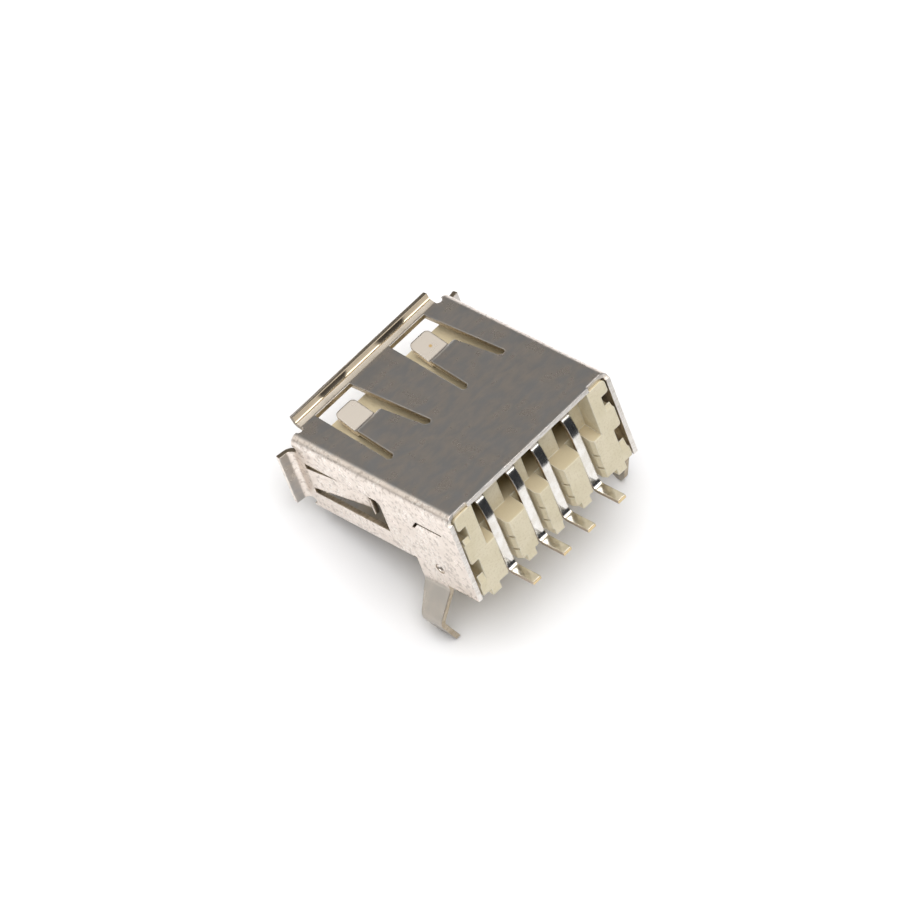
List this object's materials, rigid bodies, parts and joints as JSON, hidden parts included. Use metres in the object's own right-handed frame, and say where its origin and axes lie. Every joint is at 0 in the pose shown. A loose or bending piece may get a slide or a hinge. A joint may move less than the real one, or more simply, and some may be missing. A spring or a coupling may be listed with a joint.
{
  "type": "usb connector",
  "caption": "Right-angle type A receptacle for a printed board: folded metal shell with spring fingers and flared lips, solder legs, moulded tongue housing and strip contacts.",
  "frame": {"origin": "on the board's surface, midway between the two solder legs", "axes": "+Z away from the board; the mouth opens towards -Y and the solder tails point to +Y; +X is to the right of someone who looks into the mouth"},
  "size_m": [0.0156, 0.0153, 0.0112],
  "materials": {
    "shell_metal": "thin plated sheet, satin with faint scratches",
    "housing_plastic": "moulded, matte ivory",
    "contact_metal": "plated strip, bright"
  },
  "bodies": {
    "root": {"shell": "shell_metal", "housing": "housing_plastic", "contact_power": "contact_metal", "contact_data_minus": "contact_metal", "contact_data_plus": "contact_metal", "contact_ground": "contact_metal"}
  },
  "joints": []
}
